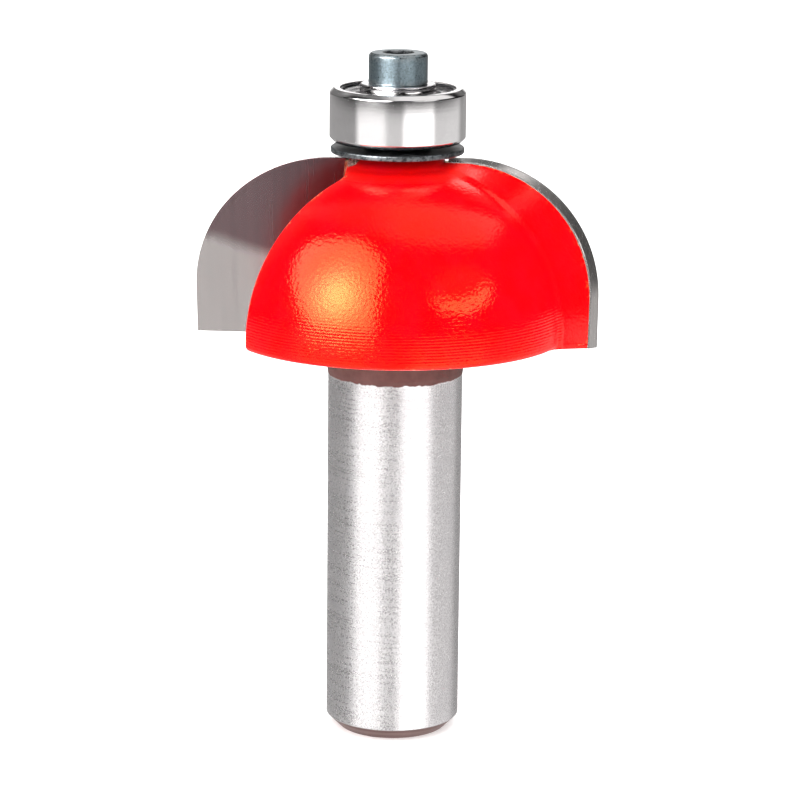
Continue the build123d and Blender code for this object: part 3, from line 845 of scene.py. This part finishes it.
# ================================================================= braze
def build_braze(name, turn, seed):
    bm = bmesh.new()
    # film behind the tip
    a = tip_outline(TIP_T, 0.56, 0.14, 0.14, 0.0, 0.03)
    b = [p for p in a]
    rings = []
    for d, q in ((TIP_T, 0.02), (TIP_T + BRAZE_T * 0.5, 0.0), (TIP_T + BRAZE_T, 0.02)):
        ring = []
        for u, w in shrunk(b, q):
            x, y, z = world_of(u, w, d)
            s = -1 if turn else 1
            ring.append(bm.verts.new((s * x * MM, s * y * MM, z * MM)))
        rings.append(ring)
    n = len(rings[0])
    for p, q in zip(rings, rings[1:]):
        for i in range(n):
            bm.faces.new((p[i], p[(i + 1) % n], q[(i + 1) % n], q[i]))
    for ring in (rings[0], rings[-1]):
        edges = [bm.edges.get((ring[i], ring[(i + 1) % n])) for i in range(n)]
        bmesh.ops.triangle_fill(bm, use_beauty=True, use_dissolve=False, edges=edges)
    # run of braze between the gullet's floor and the tip's inner end, uneven along its length
    rows, cols = 90, 9
    w_lo, w_hi = W_BOT + 0.05, W_TOP - 0.34
    grid = []
    for i in range(rows):
        w = w_lo + (w_hi - w_lo) * i / (rows - 1)
        k = noise.noise(Vector((seed, w * 1.7, 0.0))) * 0.045 + noise.noise(Vector((seed, w * 6.0, 3.0))) * 0.02
        line = []
        for j in range(cols):
            t = j / (cols - 1)
            u = root_u(w) + BRAZE_W * t
            sag = 0.22 + k + 0.16 * (1 - (2 * t - 1) ** 2)
            line.append((u, w, sag if 0 < j < cols - 1 else 0.20 + k * 0.5))
        grid.append(line)
    def vert(u, w, d):
        x, y, z = world_of(u, w, d)
        s = -1 if turn else 1
        return bm.verts.new((s * x * MM, s * y * MM, z * MM))
    frontv = [[vert(*p) for p in line] for line in grid]
    backv = [[vert(p[0], p[1], TIP_T) for p in line] for line in grid]
    for g in (frontv, backv):
        for i in range(rows - 1):
            for j in range(cols - 1):
                bm.faces.new((g[i][j], g[i][j + 1], g[i + 1][j + 1], g[i + 1][j]))
    for i in range(rows - 1):
        for j in (0, cols - 1):
            bm.faces.new((frontv[i][j], frontv[i + 1][j], backv[i + 1][j], backv[i][j]))
    for j in range(cols - 1):
        for i in (0, rows - 1):
            bm.faces.new((frontv[i][j], frontv[i][j + 1], backv[i][j + 1], backv[i][j]))
    ob = to_object(name, bm, [BRAZE], sharp=40)
    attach(ob, "cutter")
    return ob


bz1 = build_braze("braze_right", False, 3.1)
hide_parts("braze_film_1")
bz2 = build_braze("braze_left", True, 8.7)
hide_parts("braze_film_2")


# ================================================ washers, bearing and screw
def turned(name, prof, mat, bodyname, slot, node, seg=160, worn=(), wobble=None, sharp=30):
    """A turned piece that stands for its CAD node. worn lists (r, z, reach) rings whose edges are rubbed."""
    bm = bmesh.new()
    lay = bm.verts.layers.float.new("wear")
    lathe(bm, prof, seg=seg, closed=True, wobble=wobble)
    for v in bm.verts:
        r, z = math.hypot(v.co.x, v.co.y) / MM, v.co.z / MM
        v[lay] = max([0.0] + [1 - math.hypot(r - a, z - b) / c for a, b, c in worn])
    ob = to_object(name, bm, [mat], sharp=sharp)
    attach(ob, bodyname)
    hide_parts(node)
    return ob


s0 = SEAT_Z
dust = turned("dust_washer_black", dense(rounded([
    (2.40, s0, 0.03), (6.22, s0, 0.13), (6.22, s0 + 0.52, 0.15), (3.10, s0 + 0.52, 0.10), (3.10, s0 + 1.04, 0.06),
    (2.40, s0 + 1.04, 0.03)], k=6), 0.4),
    BLACK, "cutter", "black_steel", "dust_washer", seg=192,
    worn=((6.22, s0 + 0.04, 0.22), (6.22, s0 + 0.46, 0.20), (6.22, s0 + 0.25, 0.16)),
    wobble=lambda th, r, z: (r + (0.010 * noise.noise(Vector((cos(th) * 5, sin(th) * 5, z))) if r > 6.0 else 0.0),
                             z + (0.014 * noise.noise(Vector((cos(th) * 3, sin(th) * 3, 4.0))) if 5.0 < r else 0.0)))

zm = (Z0 + Z1) / 2
race = [(4.365 - 1.1906 - 0.010 + 1.238 - 1.238 * cos(rad(a)), zm - 1.238 * sin(rad(a))) for a in (48, 36, 24, 12, 0, -12, -24, -36, -48)]
inner = turned("inner_ring_ground", rounded([
    (2.38125, Z0, 0.13), (3.56, Z0, 0.12)], closed=False, k=3)[:0] + rounded([
        (2.38125, Z1, 0.14), (2.38125, Z0, 0.14), (3.56, Z0, 0.12)], closed=False, k=4)[1:] + [(3.56, Z0 + 0.14)]
    + [(3.56, race[0][1] - 0.02)] + [(min(r, 3.56), z) for r, z in race] + [(3.56, race[-1][1] + 0.02)]
    + [(3.56, Z1 - 0.14), (3.52, Z1 - 0.04), (3.44, Z1), (2.52, Z1), (2.42, Z1 - 0.05), (2.38125, Z1 - 0.14)],
    INNER, "cutter", "bearing_steel", "bearing_inner_ring", seg=128)

outer_race = [(4.365 + 1.1906 + 0.010 - 1.238 + 1.238 * cos(rad(a)), zm + 1.238 * sin(rad(a))) for a in (42, 32, 21, 10, 0, -10, -21, -32, -42)]
half_out = [(5.38, Z0, 0.05), (6.35, Z0, 0.0)]
ring_prof = rounded([
    (5.38, Z0, 0.05), (5.93, Z0, 0.14), (6.35, Z0 + 0.42, 0.16), (6.35, Z1 - 0.42, 0.16), (5.93, Z1, 0.14), (5.38, Z1, 0.05),
    (5.38, Z1 - 0.10, 0), (5.52, Z1 - 0.10, 0), (5.52, Z1 - 0.32, 0), (5.38, Z1 - 0.32, 0), (5.38, Z1 - 0.52, 0),
    (5.17, Z1 - 0.52, 0)] + [(max(r, 5.17), z, 0) for r, z in outer_race] + [
    (5.17, Z0 + 0.52, 0), (5.38, Z0 + 0.52, 0), (5.38, Z0 + 0.32, 0), (5.52, Z0 + 0.32, 0), (5.52, Z0 + 0.10, 0),
    (5.38, Z0 + 0.10, 0)], k=5)
outer = turned("outer_ring_ground", ring_prof, RING, "guide_rim", "bearing_steel", "bearing_outer_ring", seg=224)


def shield(name, face, s, node):
    zo, zi = face - s * 0.52, face - s * 0.65
    prof = [(3.90, zi, 0.03), (4.72, zi, 0.10), (4.98, zo, 0.10), (5.37, zo, 0.03), (5.37, zo + s * 0.16, 0.05),
            (4.92, zo + s * 0.16, 0.12), (4.66, zi + s * 0.16, 0.12), (4.02, zi + s * 0.16, 0.05), (3.90, zi + s * 0.08, 0.03)]
    return turned(name, rounded(prof, k=4), SHIELD, "guide_rim", "shield_steel", node, seg=160)


shield("shield_upper", Z1, 1, "bearing_shield_top")
shield("shield_lower", Z0, -1, "bearing_shield_bottom")


def snap_wire(name, face, s, start, node):
    """Open wire ring in its groove: its section swept round, with square-cut ends."""
    bm = bmesh.new()
    za, zb = sorted((face - s * 0.31, face - s * 0.13))
    gap = 0.112
    sec = rounded([(5.145, za, 0.04), (5.50, za, 0.04), (5.50, zb, 0.04), (5.145, zb, 0.04)], k=3)
    seg, rings = 150, []
    for i in range(seg + 1):
        th = rad(start) + gap + (2 * pi - 2 * gap) * i / seg
        rings.append([bm.verts.new((r * cos(th) * MM, r * sin(th) * MM, z * MM)) for r, z in sec])
    n = len(sec)
    for a, b in zip(rings, rings[1:]):
        for i in range(n):
            j = (i + 1) % n
            bm.faces.new((a[i], a[j], b[j], b[i]))
    bm.faces.new(rings[0])
    bm.faces.new(rings[-1])
    ob = to_object(name, bm, [WIRE], sharp=30)
    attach(ob, "guide_rim")
    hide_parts(node)


snap_wire("snap_ring_upper", Z1, 1, 205, "shield_snap_ring_top")
snap_wire("snap_ring_lower", Z0, -1, 25, "shield_snap_ring_bottom")

lz = Z1
lock = turned("lock_washer_plain", rounded([
    (1.62, lz, 0.04), (3.50, lz, 0.06), (3.50, lz + 0.40, 0.13), (1.62, lz + 0.40, 0.05)], k=5),
    BRIGHT, "cutter", "bright_steel", "lock_washer", seg=160)


def build_screw():
    bm = bmesh.new()
    lay = bm.verts.layers.float.new("wear")
    h0, h1, n = Z1 + 0.40, Z1 + 3.26, 168
    outerp = rounded([(0, h0 - 7.6, 0), (1.17, h0 - 7.6, 0), (1.47, h0 - 7.3, 0.05)], closed=False, k=3)
    # the thread's own pitch shows as rings on the hidden shank
    z = h0 - 7.15
    while z < h0 - 0.45:
        outerp += [(1.47, z), (1.30, z + 0.20), (1.30, z + 0.27), (1.47, z + 0.45)]
        z += 0.5
    outerp += rounded([(1.47, h0 - 0.1, 0), (1.47, h0, 0.05), (2.66, h0, 0.08), (2.75, h0 + 0.10, 0.10), (2.75, h1 - 0.24, 0.14),
                       (2.55, h1, 0.16), (1.60, h1, 0)], closed=False, k=7)
    outerp = dense(outerp, 0.5)
    def ring(fn):
        out = []
        for i in range(n):
            th = 2 * pi * i / n
            r, z = fn(th)
            out.append(bm.verts.new((r * cos(th) * MM, r * sin(th) * MM, z * MM)))
        return out
    af, turn = 1.25, rad(12)
    def hexr(th):
        k = (th - turn) % (pi / 3) - pi / 6
        return af / cos(k)
    rings = [[bm.verts.new((0, 0, (h0 - 7.6) * MM))]]
    for r, z in outerp[1:]:
        rings.append(ring(lambda th: (r, z)))
    mouth = 1.49
    rings.append(ring(lambda th: (mouth, h1)))
    inner0 = len(rings)
    rings.append(ring(lambda th: (hexr(th) + 0.0, h1 - (mouth - hexr(th)) * 0.95 - 0.015)))
    rings.append(ring(lambda th: (hexr(th), h1 - 0.60)))
    rings.append(ring(lambda th: (hexr(th), h1 - 1.34)))
    rings.append(ring(lambda th: (hexr(th) * 0.97, h1 - 1.37)))
    rings.append(ring(lambda th: (1.18, h1 - 1.40)))
    rings.append(ring(lambda th: (0.55, h1 - 1.62)))
    rings.append([bm.verts.new((0, 0, (h1 - 1.80) * MM))])
    # faces inside the hex socket take the dark copy of the oxide: painted shade in the recess
    for q, (a, b) in enumerate(zip(rings, rings[1:])):
        for i in range(n):
            j = (i + 1) % n
            if len(a) == 1:
                f = bm.faces.new((a[0], b[i], b[j]))
            elif len(b) == 1:
                f = bm.faces.new((a[i], b[0], a[j]))
            else:
                f = bm.faces.new((a[i], b[i], b[j], a[j]))
            f.material_index = 1 if q >= inner0 - 1 else 0
    for v in bm.verts:
        r, z = math.hypot(v.co.x, v.co.y) / MM, v.co.z / MM
        v[lay] = max([0.0] + [1 - math.hypot(r - a, z - b) / c for a, b, c in
                              ((2.66, h1 - 0.12, 0.34), (1.49, h1, 0.16), (2.75, h0 + 0.05, 0.14))])
    ob = to_object("cap_screw_head", bm, [OXIDE, SOCKET_SHADE], sharp=32)
    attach(ob, "cutter")
    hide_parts("cap_screw")
    return ob


screw = build_screw()

# pieces hidden behind the shields keep their CAD shape
for nm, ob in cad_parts.items():
    if ob.hide_render:
        continue
    mt = CAGE if nm == "ball_cage" else BALL
    ob.data.materials.clear()
    ob.data.materials.append(mt)
    for sl in ob.material_slots:
        sl.material = mt
    for p in ob.data.polygons:
        p.use_smooth = True


# =============================================================== floor
def build_floor():
    """Round pale sheet, wide enough to fill the picture."""
    bm = bmesh.new()
    prev = [bm.verts.new((0, 0, -0.00002))]
    for r in (0.02, 0.06, 0.15, 0.4, 1.0, 2.4, 6.0):
        ring = [bm.verts.new((r * cos(2 * pi * i / 64), r * sin(2 * pi * i / 64), -0.00002)) for i in range(64)]
        for i in range(64):
            j = (i + 1) % 64
            bm.faces.new((prev[0], ring[i], ring[j]) if len(prev) == 1 else (prev[i], ring[i], ring[j], prev[j]))
        prev = ring
    m = Mat("floor_pale")
    m.set(Base_Color=(0.86, 0.86, 0.86, 1.0), Roughness=0.9)
    m.p.inputs["Specular IOR Level"].default_value = 0.0
    m.p.inputs["Emission Color"].default_value = (1.0, 1.0, 1.0, 1.0)
    m.p.inputs["Emission Strength"].default_value = 0.22
    ob = to_object("floor", bm, [m.m])
    ob.visible_glossy = False
    return ob


build_floor()


# =============================================================== light
def build_world():
    """Soft boxes left and right of the camera with a gap between them, a bank overhead, weak fill behind."""
    world = bpy.data.worlds.new("studio")
    bpy.context.scene.world = world
    world.use_nodes = True
    w = Mat.__new__(Mat)
    w.nt = world.node_tree
    w.nt.nodes.clear()
    coord = w.nt.nodes.new("ShaderNodeTexCoord").outputs["Generated"]
    s = w.nt.nodes.new("ShaderNodeSeparateXYZ")
    w.link(coord, s.inputs[0])
    x, y, z = s.outputs
    az = w.math("SUBTRACT", w.mul(w.math("ARCTAN2", x, w.mul(y, -1.0)), 180 / pi), 1.0)
    el = w.mul(w.math("ARCSINE", z), 180 / pi)

    def window(v, lo, hi, soft_lo, soft_hi):
        return w.mul(w.ramp(v, lo - soft_lo, lo + soft_lo), w.ramp(v, hi - soft_hi, hi + soft_hi, 1.0, 0.0))

    def patch(a0, a1, e0, e1, sa=3.0, se=3.0):
        return w.mul(window(az, a0, a1, sa, sa), window(el, e0, e1, se, se))

    def blob(a, e, ra, re, power):
        q = w.add(w.math("POWER", w.mul(w.math("SUBTRACT", az, a), 1 / ra), 2.0),
                  w.math("POWER", w.mul(w.math("SUBTRACT", el, e), 1 / re), 2.0))
        return w.mul(w.math("EXPONENT", w.mul(q, -1.0)), power)

    # what upright metal mirrors: the table and the lower part of the boxes
    low = w.ramp(el, -4.0, -7.4)
    high = w.math("SUBTRACT", 1.0, low)
    side = w.add(0.42, w.mul(w.ramp(w.math("ABSOLUTE", w.math("SUBTRACT", az, 98)), 42, 24), 0.46))
    side = w.add(side, w.mul(w.mul(window(az, -17, 14, 6, 6), w.ramp(el, -24, -18)), 0.42))
    below = w.add(side, w.add(w.mul(patch(-69, -17, -90, 20, 6, 5), 0.95), w.mul(patch(14, 66, -90, 20, 6, 5), 1.75)))
    below = w.add(below, w.mul(w.ramp(el, -19, -27), 0.25))
    # tall round box on the left with its hot middle
    left = w.add(az, w.ramp(el, -2, 40, 53.5, 91.5))
    arch = w.math("SUBTRACT", el, w.mul(w.math("POWER", w.mul(w.math("ADD", az, 45.0), 1 / 42.0), 2.0), -15.0))
    round_l = w.mul(w.mul(w.ramp(left, -3.5, 3.5), w.ramp(az, -14, -8, 1.0, 0.0)),
                    w.mul(w.ramp(arch, 60, 67, 1.0, 0.0), w.ramp(el, -2, 8)))
    box_l = w.add(w.mul(round_l, 6.2), blob(-41, 27, 17, 15, 26))
    # small round box on the right, brighter along its lower edge
    ring = w.math("SQRT", w.add(w.math("POWER", w.mul(w.math("SUBTRACT", az, 54.0), 1 / 25.0), 2.0),
                                w.math("POWER", w.mul(w.math("SUBTRACT", el, 30.0), 1 / 14.0), 2.0)))
    disc = w.ramp(ring, 1.08, 0.92, 0.0, 1.0)
    smile = w.mul(disc, w.add(0.35, w.mul(w.ramp(w.add(el, w.mul(w.math("POWER", w.mul(w.math("SUBTRACT", az, 54.0), 1 / 25.0), 2.0), -4.0)), 27, 21), 5.6)))
    # long panel overhead, seen as a curved sheen across the top of the dome
    tn = w.math("DIVIDE", w.math("SQRT", w.math("MAXIMUM", w.math("SUBTRACT", 1.0, w.math("POWER", z, 2.0)), 0.0)),
                w.math("MAXIMUM", z, 0.02))
    azr = w.mul(az, pi / 180)
    px, py = w.mul(w.math("SINE", azr), tn), w.mul(w.math("COSINE", azr), w.mul(tn, -1.0))
    v = w.math("SUBTRACT", py, w.mul(w.math("POWER", px, 2.0), 0.75))
    panel = w.mul(w.ramp(v, 0.30, 0.16, 0.0, 1.0), w.ramp(w.add(v, w.mul(px, 0.3)), -0.44, -0.24))
    panel = w.mul(panel, w.mul(w.ramp(px, 1.25, 1.0, 0.0, 1.0), w.ramp(px, -1.3, -0.9)))
    panel = w.mul(panel, w.ramp(px, -0.35, 0.10, 0.28, 1.10))
    above = w.add(w.add(box_l, smile), panel)
    for t in (w.mul(patch(-165, -112, 2, 42, 8, 6), 0.22),
              w.mul(patch(146, 165, 2, 42, 6, 6), 0.18),
              w.mul(patch(156, 168, 23, 40, 3, 4), 1.5),
              w.mul(w.mul(w.ramp(w.math("ABSOLUTE", az), 168, 174), window(el, 4, 18, 3, 3)), 1.40),
              w.mul(w.mul(w.ramp(w.math("ABSOLUTE", az), 150, 160), window(el, -20, 6, 4, 4)), 0.6)):
        above = w.add(above, t)
    total = w.add(w.mul(below, low), w.mul(above, high))
    seen = w.nt.nodes.new("ShaderNodeBackground")       # mirrored by glossy surfaces
    seen.inputs["Color"].default_value = (1.0, 0.985, 0.98, 1.0)
    w.link(total, seen.inputs["Strength"])
    fill = w.nt.nodes.new("ShaderNodeBackground")       # soft even fill for matt surfaces
    lean = w.add(w.mul(x, -0.22), w.add(w.mul(y, -0.22), w.mul(z, 0.18)))
    w.link(w.add(2.50, lean), fill.inputs["Strength"])
    plain = w.nt.nodes.new("ShaderNodeBackground")      # behind the floor's edge
    plain.inputs["Strength"].default_value = 1.0
    plain.inputs["Color"].default_value = (1.0, 1.0, 1.0, 1.0)
    path = w.nt.nodes.new("ShaderNodeLightPath")
    first, second = w.nt.nodes.new("ShaderNodeMixShader"), w.nt.nodes.new("ShaderNodeMixShader")
    out = w.nt.nodes.new("ShaderNodeOutputWorld")
    w.link(path.outputs["Is Glossy Ray"], first.inputs[0])
    w.link(fill.outputs[0], first.inputs[1])
    w.link(seen.outputs[0], first.inputs[2])
    w.link(path.outputs["Is Camera Ray"], second.inputs[0])
    w.link(first.outputs[0], second.inputs[1])
    w.link(plain.outputs[0], second.inputs[2])
    w.link(second.outputs[0], out.inputs[0])
    world.cycles.sampling_method = "NONE"


build_world()
bpy.context.scene.view_settings.view_transform = "Standard"

# =============================================================== camera
cam_data = bpy.data.cameras.new("camera")
cam = bpy.data.objects.new("camera", cam_data)
bpy.context.scene.collection.objects.link(cam)
eye, aim = Vector((0.01676, -0.29128, 0.10180)), Vector((0.000473, 0.000026, 0.031973))
spin = Matrix.Rotation(rad(1.0), 4, "Z")
eye, aim = spin @ eye, spin @ aim
turn = (aim - eye).to_track_quat("-Z", "Y").to_matrix().to_4x4()
cam.matrix_world = Matrix.Translation(eye) @ turn @ Matrix.Rotation(rad(0.59), 4, "Z")
cam_data.sensor_width = 36.0
cam_data.lens = 142.55
cam_data.clip_start, cam_data.clip_end = 0.01, 50.0
cam_data.dof.use_dof = False
bpy.context.scene.camera = cam
